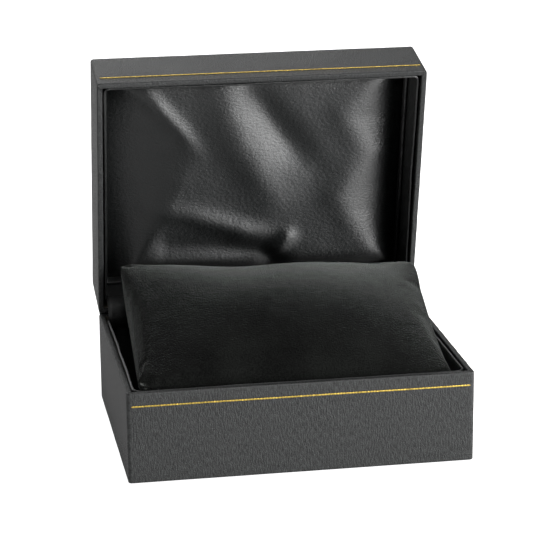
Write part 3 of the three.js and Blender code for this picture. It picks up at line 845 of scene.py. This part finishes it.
def leatherette_finish(settings):
    """Embossed leatherette: paper-backed vinyl rolled with a straight grain.

    Its lines run up the walls. Its colour follows the grain's height: painted shade in the hollows and painted
    highlight flecks on the ridges.
    """
    spacing = settings.grain / MM
    base = settings.leatherette
    material, tree, shader = new_finish(
        "leatherette_straight_grain", {"IOR": 1.5, "Roughness": 0.45, "Specular IOR Level": 0.42}
    )
    cloth = add(tree, "ShaderNodeUVMap", uv_map="Cloth")
    drawn = add(tree, "ShaderNodeMapping", {"Scale": (1, 0.22, 1)}, {"Vector": cloth})
    lines = add(
        tree, "ShaderNodeTexNoise", {"Scale": 1 / spacing, "Detail": 3, "Roughness": 0.6},
        {"Vector": drawn},
    )
    short = add(tree, "ShaderNodeMapping", {"Scale": (1, 0.6, 1)}, {"Vector": cloth})
    pebbles = add(
        tree, "ShaderNodeTexNoise", {"Scale": 1.5 / spacing, "Detail": 2}, {"Vector": short}
    )
    patches = add(tree, "ShaderNodeTexNoise", {"Scale": 0.035, "Detail": 2}, {"Vector": cloth})
    height = add(tree, "ShaderNodeMix", {"Factor": 0.35}, {"A": lines, "B": pebbles})
    # Painted shade and highlight: the grain's height darkens the colour in the hollows and lightens it on the
    # ridges.
    shade = add(
        tree, "ShaderNodeMapRange", {"From Min": 0.36, "From Max": 0.66}, {"Value": height}
    )
    colour = add(
        tree, "ShaderNodeMix",
        {FIRST_COLOUR: opaque(base, 0.2), SECOND_COLOUR: opaque(base, 2.8)}, {0: shade}, **BETWEEN,
    )
    gloss = add(
        tree, "ShaderNodeMapRange",
        {"From Min": 0.35, "From Max": 0.65, "To Min": 0.7, "To Max": 0.3}, {"Value": pebbles},
    )
    rough = add(tree, "ShaderNodeMix", {"Factor": 0.12}, {"A": gloss, "B": patches})
    bump = add(tree, "ShaderNodeBump", {"Distance": 0.36 * MM}, {"Height": height})
    connect(tree, shader, colour, rough, bump)
    return material


def satin_finish(settings):
    """Polyester satin: long warp floats that shine along one direction, over a dark ground."""
    base = settings.satin
    material, tree, shader = new_finish(
        "polyester_satin",
        {
            "IOR": 1.5, "Specular IOR Level": 0.88, "Anisotropic": 0.8,
            "Anisotropic Rotation": 0.25,
        },
    )
    across = add(tree, "ShaderNodeTangent", direction_type="UV_MAP", uv_map="Cloth")
    tree.links.new(across.outputs[0], shader.inputs["Tangent"])
    cloth = add(tree, "ShaderNodeUVMap", uv_map="Cloth")
    # Real floats are a tenth of a millimetre apart; these are drawn at 0.6 mm to show.
    drawn = add(tree, "ShaderNodeMapping", {"Scale": (0.6, 1, 1)}, {"Vector": cloth})
    threads = add(
        tree, "ShaderNodeTexNoise", {"Scale": 1 / 0.6, "Detail": 3, "Roughness": 0.65},
        {"Vector": drawn},
    )
    creases = add(
        tree, "ShaderNodeTexNoise", {"Scale": 0.16, "Detail": 3, "Roughness": 0.55},
        {"Vector": cloth},
    )
    shade = add(
        tree, "ShaderNodeMapRange", {"From Min": 0.3, "From Max": 0.7}, {"Value": threads}
    )
    colour = add(
        tree, "ShaderNodeMix",
        {FIRST_COLOUR: opaque(base, 0.6), SECOND_COLOUR: opaque(base, 1.6)}, {0: shade}, **BETWEEN,
    )
    rough = add(
        tree, "ShaderNodeMapRange",
        {"From Min": 0.3, "From Max": 0.7, "To Min": 0.36, "To Max": 0.52}, {"Value": threads},
    )
    under = add(
        tree, "ShaderNodeBump", {"Distance": 0.35 * MM, "Strength": 0.4}, {"Height": creases}
    )
    bump = add(
        tree, "ShaderNodeBump", {"Distance": 0.2 * MM, "Strength": 0.8},
        {"Height": threads, "Normal": under},
    )
    connect(tree, shader, colour, rough, bump)
    return material


def velvet_finish(settings):
    """Short-pile velvet: upright fibres that drink light face on and glow at the edges."""
    base = settings.velvet
    material, tree, shader = new_finish(
        "short_pile_velvet",
        {
            "Roughness": 0.95, "Specular IOR Level": 0.1, "Sheen Weight": 0.8,
            "Sheen Roughness": 0.2, "Sheen Tint": opaque(linear("#b4b8b5")),
        },
    )
    place = add(tree, "ShaderNodeTexCoord").outputs["Object"]
    # Pile tufts are about 0.2 mm; they are drawn at 0.45 mm to show.
    pile = add(
        tree, "ShaderNodeTexNoise", {"Scale": PER_METRE / 0.45, "Detail": 3, "Roughness": 0.6},
        {"Vector": place},
    )
    nap = add(
        tree, "ShaderNodeTexNoise", {"Scale": 0.07 * PER_METRE, "Detail": 3}, {"Vector": place}
    )
    mottled = add(tree, "ShaderNodeMix", {"Factor": 0.4}, {"A": pile, "B": nap})
    shade = add(
        tree, "ShaderNodeMapRange", {"From Min": 0.38, "From Max": 0.62}, {"Value": mottled}
    )
    colour = add(
        tree, "ShaderNodeMix",
        {FIRST_COLOUR: opaque(base, 0.3), SECOND_COLOUR: opaque(base, 3.0)}, {0: shade}, **BETWEEN,
    )
    under = add(tree, "ShaderNodeBump", {"Distance": 1.2 * MM, "Strength": 0.25}, {"Height": nap})
    bump = add(
        tree, "ShaderNodeBump", {"Distance": 0.4 * MM, "Strength": 0.9},
        {"Height": pile, "Normal": under},
    )
    connect(tree, shader, colour, None, bump)
    return material


def gold_finish(settings):
    """Hot-stamped gold foil: bright metal, dulled where the emboss has broken it."""
    base = settings.gold
    material, tree, shader = new_finish("hot_stamped_gold_foil", {"Metallic": 1.0})
    place = add(tree, "ShaderNodeTexCoord").outputs["Object"]
    wear = add(
        tree, "ShaderNodeTexNoise", {"Scale": 1.1 * PER_METRE, "Detail": 3, "Roughness": 0.6},
        {"Vector": place},
    )
    shade = add(
        tree, "ShaderNodeMapRange", {"From Min": 0.32, "From Max": 0.6}, {"Value": wear}
    )
    colour = add(
        tree, "ShaderNodeMix",
        {FIRST_COLOUR: opaque(base, 0.55), SECOND_COLOUR: opaque(base, 1.1)}, {0: shade},
        **BETWEEN,
    )
    rough = add(
        tree, "ShaderNodeMapRange",
        {"From Min": 0.3, "From Max": 0.7, "To Min": 0.5, "To Max": 0.25}, {"Value": wear},
    )
    bump = add(tree, "ShaderNodeBump", {"Distance": 0.03 * MM, "Strength": 0.5}, {"Height": wear})
    connect(tree, shader, colour, rough, bump)
    return material


def fibre_finish(name, inputs, scale, dark, light, depth):
    """A matt fibrous sheet: noise of a scale per millimetre shades it and gives it its tooth."""
    material, tree, shader = new_finish(name, inputs)
    place = add(tree, "ShaderNodeTexCoord").outputs["Object"]
    fibre = add(
        tree, "ShaderNodeTexNoise", {"Scale": scale * PER_METRE, "Detail": 4, "Roughness": 0.65},
        {"Vector": place},
    )
    shade = add(tree, "ShaderNodeMapRange", {"From Min": 0.3, "From Max": 0.7}, {"Value": fibre})
    colour = add(
        tree, "ShaderNodeMix",
        {FIRST_COLOUR: opaque(linear(dark)), SECOND_COLOUR: opaque(linear(light))}, {0: shade},
        **BETWEEN,
    )
    bump = add(tree, "ShaderNodeBump", {"Distance": depth * MM, "Strength": 0.5}, {"Height": fibre})
    connect(tree, shader, colour, None, bump)
    return material


def board_finish():
    """Pressed grey board: matt recycled fibre, mottled at a millimetre or so."""
    return fibre_finish("pressed_grey_board", {"Roughness": 0.85}, 1.4, "#4c4841", "#68635a", 0.05)


def paper_finish():
    """Black embossed paper: matt, with a fine linen press at half a millimetre."""
    return fibre_finish("embossed_black_paper", {"Roughness": 0.8}, 2.0, "#1b1b1b", "#303030", 0.04)


def wadding_finish():
    """Polyester wadding: soft white fibre that scatters light and hides its own shadows."""
    inputs = {"Roughness": 1.0, "Sheen Weight": 0.3, "Sheen Roughness": 0.6}
    return fibre_finish("polyester_wadding", inputs, 0.8, "#c9c7c0", "#efeeea", 0.4)


def steel_finish():
    """Zinc-plated pressed steel: grey metal with a faint rolled streak along the hinge."""
    material, tree, shader = new_finish("zinc_plated_steel", {"Metallic": 1.0})
    place = add(tree, "ShaderNodeTexCoord").outputs["Object"]
    along = add(tree, "ShaderNodeMapping", {"Scale": (0.3, 3, 3)}, {"Vector": place})
    streak = add(
        tree, "ShaderNodeTexNoise", {"Scale": 1.5 * PER_METRE, "Detail": 3}, {"Vector": along}
    )
    shade = add(tree, "ShaderNodeMapRange", {"From Min": 0.3, "From Max": 0.7}, {"Value": streak})
    colour = add(
        tree, "ShaderNodeMix",
        {FIRST_COLOUR: opaque(linear("#9a9a96")), SECOND_COLOUR: opaque(linear("#c2c2bd"))},
        {0: shade}, **BETWEEN,
    )
    rough = add(
        tree, "ShaderNodeMapRange",
        {"From Min": 0.3, "From Max": 0.7, "To Min": 0.3, "To Max": 0.45}, {"Value": streak},
    )
    connect(tree, shader, colour, rough)
    return material


def finish_for(slot):
    """The material of one of the record's slots, made once."""
    settings = bpy.context.scene.gift_box
    makers = {
        "leatherette": lambda: leatherette_finish(settings),
        "lining_satin": lambda: satin_finish(settings),
        "velvet": lambda: velvet_finish(settings),
        "gold_foil": lambda: gold_finish(settings),
        "moulded_board": board_finish,
        "foot_paper": paper_finish,
        "wadding": wadding_finish,
        "hinge_steel": steel_finish,
    }
    made = finish_for.made.get(slot)
    if made is None:
        made = finish_for.made[slot] = makers[slot]()
    return made


finish_for.made = {}


def settle(made, slot, body=None, nodes=()):
    """Gives a piece its finish, the body it rides on and the nodes that it stands for."""
    made.data.materials.clear()
    made.data.materials.append(finish_for(slot))
    if body:
        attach(made, body)
    if nodes:
        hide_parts(*nodes)
    return made


# ---- operators ----------------------------------------------------------------------------


class GIFTBOX_OT_covers(bpy.types.Operator):
    """Wrap the tray and the lid in leatherette"""

    bl_idname = "giftbox.covers"
    bl_label = "Leatherette Covers"
    bl_options = {"REGISTER", "UNDO"}

    def execute(self, context):
        settings = context.scene.gift_box
        edge = settings.wrap_edge / MM
        settle(tray_cover(edge), "leatherette", "tray", ["tray_wrap"])
        settle(lid_cover(edge), "leatherette", "lid", ["lid_wrap"])
        return {"FINISHED"}


class GIFTBOX_OT_gold_lines(bpy.types.Operator):
    """Stamp a gold line along both front faces"""

    bl_idname = "giftbox.gold_lines"
    bl_label = "Gold Lines"
    bl_options = {"REGISTER", "UNDO"}

    def execute(self, context):
        settings = context.scene.gift_box
        size = (settings.line_width / MM, settings.rope_pitch / MM)
        tray = gold_rope("tray_gold_rope", "tray_gold_line", False, *size)
        lid = gold_rope("lid_gold_rope", "lid_gold_line", True, *size)
        settle(tray, "gold_foil", "tray", ["tray_gold_line"])
        settle(lid, "gold_foil", "lid", ["lid_gold_line"])
        return {"FINISHED"}


class GIFTBOX_OT_bands(bpy.types.Operator):
    """Line the walls of the tray and the lid with card bands"""

    bl_idname = "giftbox.bands"
    bl_label = "Lining Bands"
    bl_options = {"REGISTER", "UNDO"}

    def execute(self, context):
        tray = card_band("tray_band", LINER_LOW, LINER_HIGH, True, TRAY_BAND_CORNER, 41)
        lid = card_band(
            "lid_band", LID_LINER_LOW, LID_LINER_HIGH, False, LID_BAND_CORNER, 47
        )
        settle(tray, "lining_satin", "tray", ["tray_liner"])
        settle(lid, "lining_satin", "lid", ["lid_liner"])
        return {"FINISHED"}


class GIFTBOX_OT_lid_satin(bpy.types.Operator):
    """Gather the satin over the lid's padding"""

    bl_idname = "giftbox.lid_satin"
    bl_label = "Lid Satin"
    bl_options = {"REGISTER", "UNDO"}

    def execute(self, context):
        settings = context.scene.gift_box
        made = lid_satin(settings.satin_puff / MM)
        settle(made, "lining_satin", "lid", ["lid_satin", "lid_pad_wadding"])
        settle(satin_edge(), "lining_satin", "lid")
        return {"FINISHED"}


class GIFTBOX_OT_hinge_strips(bpy.types.Operator):
    """Carry the satin, the spine and the bow springs across the hinge"""

    bl_idname = "giftbox.hinge_strips"
    bl_label = "Hinge Strips"
    bl_options = {"REGISTER", "UNDO"}

    def execute(self, context):
        satin = hinge_strip(
            "hinge_satin_roll", SATIN_ROLL, SATIN_STRIP_HALF, STRIP_THICKNESS,
            SATIN_STRIP_RIPPLE, seed=61, tails=SATIN_STRIP_TAILS,
        )
        spine = hinge_strip("hinge_spine_strip", SPINE_LINE, SPINE_HALF, STRIP_THICKNESS)
        self.bend(settle(satin, "lining_satin", None, ["hinge_satin"]))
        self.bend(settle(spine, "leatherette", None, ["hinge_spine"]))
        for side in ("left", "right"):
            low, high = rest_box(f"hinge_spring_{side}")
            middle, half = (low[0] + high[0]) / 2, (high[0] - low[0]) / 2
            name = f"hinge_bow_{side}"
            spring = hinge_strip(name, SPRING_LINE, half, STRIP_THICKNESS, start=middle)
            self.bend(settle(spring, "hinge_steel", None, [f"hinge_spring_{side}"]))
        return {"FINISHED"}

    def bend(self, made):
        """Bakes a strip's placement into its mesh."""
        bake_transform(made)


class GIFTBOX_OT_pillow(bpy.types.Operator):
    """Sew and fill the velvet pillow"""

    bl_idname = "giftbox.pillow"
    bl_label = "Pillow"
    bl_options = {"REGISTER", "UNDO"}

    def execute(self, context):
        settings = context.scene.gift_box
        crown = settings.pillow_crown / MM
        cover = pillow(crown)
        filling = cushion("pillow_stuffing", crown - 2.5, FLOOR_TOP + 2.2, inset=3.0, steps=40)
        settle(cover, "velvet", "pillow", ["pillow_cover"])
        settle(filling, "wadding", "pillow", ["pillow_filling"])
        for made in (cover, filling):
            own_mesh(made)
        return {"FINISHED"}


class GIFTBOX_OT_frame_finishes(bpy.types.Operator):
    """Finish the frame's own pieces that stay"""

    bl_idname = "giftbox.frame_finishes"
    bl_label = "Frame Finishes"
    bl_options = {"REGISTER", "UNDO"}

    def execute(self, context):
        slots = {row["node"]: row["material_slot"] for row in frame["record"]["subparts"]}
        for name, made in frame["nodes"].items():
            if not made.hide_render:
                made.data.materials.clear()
                made.data.materials.append(finish_for(slots[name]))
        return {"FINISHED"}


class GIFTBOX_OT_stage(bpy.types.Operator):
    """Set the floor, the light and the camera"""

    bl_idname = "giftbox.stage"
    bl_label = "Stage"
    bl_options = {"REGISTER", "UNDO"}

    def execute(self, context):
        set_floor()
        set_lights()
        set_camera()
        return {"FINISHED"}


class GIFTBOX_PT_panel(bpy.types.Panel):
    """Lists the builders and the settings in the 3D view's sidebar"""

    bl_label = "Gift Box"
    bl_idname = "GIFTBOX_PT_panel"
    bl_space_type = "VIEW_3D"
    bl_region_type = "UI"
    bl_category = "Gift Box"

    def draw(self, context):
        for builder in BUILDERS:
            self.layout.operator(builder.bl_idname)
        for name in GiftBoxSettings.__annotations__:
            self.layout.prop(context.scene.gift_box, name)


# ---- stage --------------------------------------------------------------------------------

FLOOR_HALF = 3000
FLOOR_GLOW = 0.9
SURROUND_LEVEL = 0.17

# Each lamp is its name, its place and size in millimetres, and its power in watts.
LAMPS = (
    ("top_lamp", (0, -100, 1500), (1500, 1500), 6.0),
    ("back_lamp", (-200, 1300, 800), (1200, 1000), 8.5),
    ("side_lamp", (600, -600, 220), (680, 460), 13.5),
)
LAMP_AIM = (0, 0, 45)

# The camera's place is in metres, its lens in millimetres and its turns in degrees. The pitch
# is how far it looks down, and a negative yaw turns it to the right.
CAMERA_PLACE = (-0.1130, -0.6502, 0.2388)
CAMERA_LENS = 149.1
CAMERA_PITCH, CAMERA_YAW, CAMERA_ROLL = 16.05, -9.77, -0.49


def set_floor():
    """A wide white sheet under the box."""
    ends = (-FLOOR_HALF, FLOOR_HALF)
    corners = np.array([[(x, y, 0) for x in ends] for y in ends], float)
    floor = surface("floor", corners, flat=True)
    material, tree, shader = new_finish(
        "backlit_opal_acrylic",
        {"Roughness": 0.9, "Specular IOR Level": 0.1, "Emission Color": (1, 1, 1, 1)},
    )
    # The sheet's own glow only whitens the backdrop, so it doesn't light the box from below.
    rays = add(tree, "ShaderNodeLightPath").outputs["Is Camera Ray"]
    glow = add(tree, "ShaderNodeMath", {1: FLOOR_GLOW}, {0: rays}, operation="MULTIPLY")
    tree.links.new(glow.outputs[0], shader.inputs["Emission Strength"])
    place = add(tree, "ShaderNodeTexCoord").outputs["Object"]
    tone = add(tree, "ShaderNodeTexNoise", {"Scale": 10, "Detail": 2}, {"Vector": place})
    colour = add(
        tree, "ShaderNodeMix",
        {FIRST_COLOUR: opaque(linear("#f6f6f6")), SECOND_COLOUR: opaque(linear("#fafafa"))},
        {0: tone}, **BETWEEN,
    )
    connect(tree, shader, colour)
    floor.data.materials.append(material)


def set_lights():
    """A dim white surround and three wide soft lamps: above, behind and front right."""
    world = bpy.data.worlds.new("white_surround")
    world.use_nodes = True
    background = world.node_tree.nodes["Background"]
    background.inputs["Color"].default_value = (1, 1, 1, 1)
    background.inputs["Strength"].default_value = SURROUND_LEVEL
    bpy.context.scene.world = world
    for lamp in LAMPS:
        area_lamp(*lamp)


def area_lamp(name, place, size, power):
    """A rectangular lamp that faces the middle of the box."""
    lamp = bpy.data.lights.new(name, "AREA")
    lamp.energy = power
    lamp.shape = "RECTANGLE"
    lamp.size, lamp.size_y = (side * MM for side in size)
    made = bpy.data.objects.new(name, lamp)
    made.location = [value * MM for value in place]
    aim = np.array(LAMP_AIM) - np.array(place)
    made.rotation_mode = "QUATERNION"
    made.rotation_quaternion = Matrix(look_along(aim)).to_quaternion()
    bpy.context.scene.collection.objects.link(made)


def look_along(direction):
    """Rows of the rotation whose -Z looks along a direction, with +Y upwards."""
    back = -np.array(direction, float) / np.linalg.norm(direction)
    right = np.cross([0, 0, 1], back)
    right /= np.linalg.norm(right)
    return np.stack([right, np.cross(back, right), back], axis=-1).tolist()


def set_camera():
    """A long lens from the front, a little to the left and above, as on a shop table."""
    camera = bpy.data.cameras.new("camera")
    camera.lens = CAMERA_LENS
    camera.sensor_width = 36
    camera.clip_end = 20
    made = bpy.data.objects.new("camera", camera)
    made.location = CAMERA_PLACE
    turn = (
        Matrix.Rotation(math.radians(CAMERA_YAW), 3, "Z")
        @ Matrix.Rotation(math.radians(90 - CAMERA_PITCH), 3, "X")
        @ Matrix.Rotation(math.radians(CAMERA_ROLL), 3, "Z")
    )
    made.rotation_mode = "QUATERNION"
    made.rotation_quaternion = turn.to_quaternion()
    bpy.context.scene.collection.objects.link(made)
    bpy.context.scene.camera = made
    bpy.context.scene.view_settings.view_transform = "Standard"


BUILDERS = (
    GIFTBOX_OT_covers,
    GIFTBOX_OT_gold_lines,
    GIFTBOX_OT_bands,
    GIFTBOX_OT_lid_satin,
    GIFTBOX_OT_hinge_strips,
    GIFTBOX_OT_pillow,
    GIFTBOX_OT_frame_finishes,
    GIFTBOX_OT_stage,
)


def register():
    for made in (GiftBoxSettings, *BUILDERS, GIFTBOX_PT_panel):
        bpy.utils.register_class(made)
    bpy.types.Scene.gift_box = bpy.props.PointerProperty(type=GiftBoxSettings)


def unregister():
    del bpy.types.Scene.gift_box
    for made in (GIFTBOX_PT_panel, *reversed(BUILDERS), GiftBoxSettings):
        bpy.utils.unregister_class(made)


def main():
    """Builds the box and its stage."""
    register()
    bpy.ops.giftbox.covers()
    bpy.ops.giftbox.gold_lines()
    bpy.ops.giftbox.bands()
    bpy.ops.giftbox.lid_satin()
    bpy.ops.giftbox.hinge_strips()
    bpy.ops.giftbox.pillow()
    bpy.ops.giftbox.frame_finishes()
    bpy.ops.giftbox.stage()


if __name__ == "__main__":
    main()
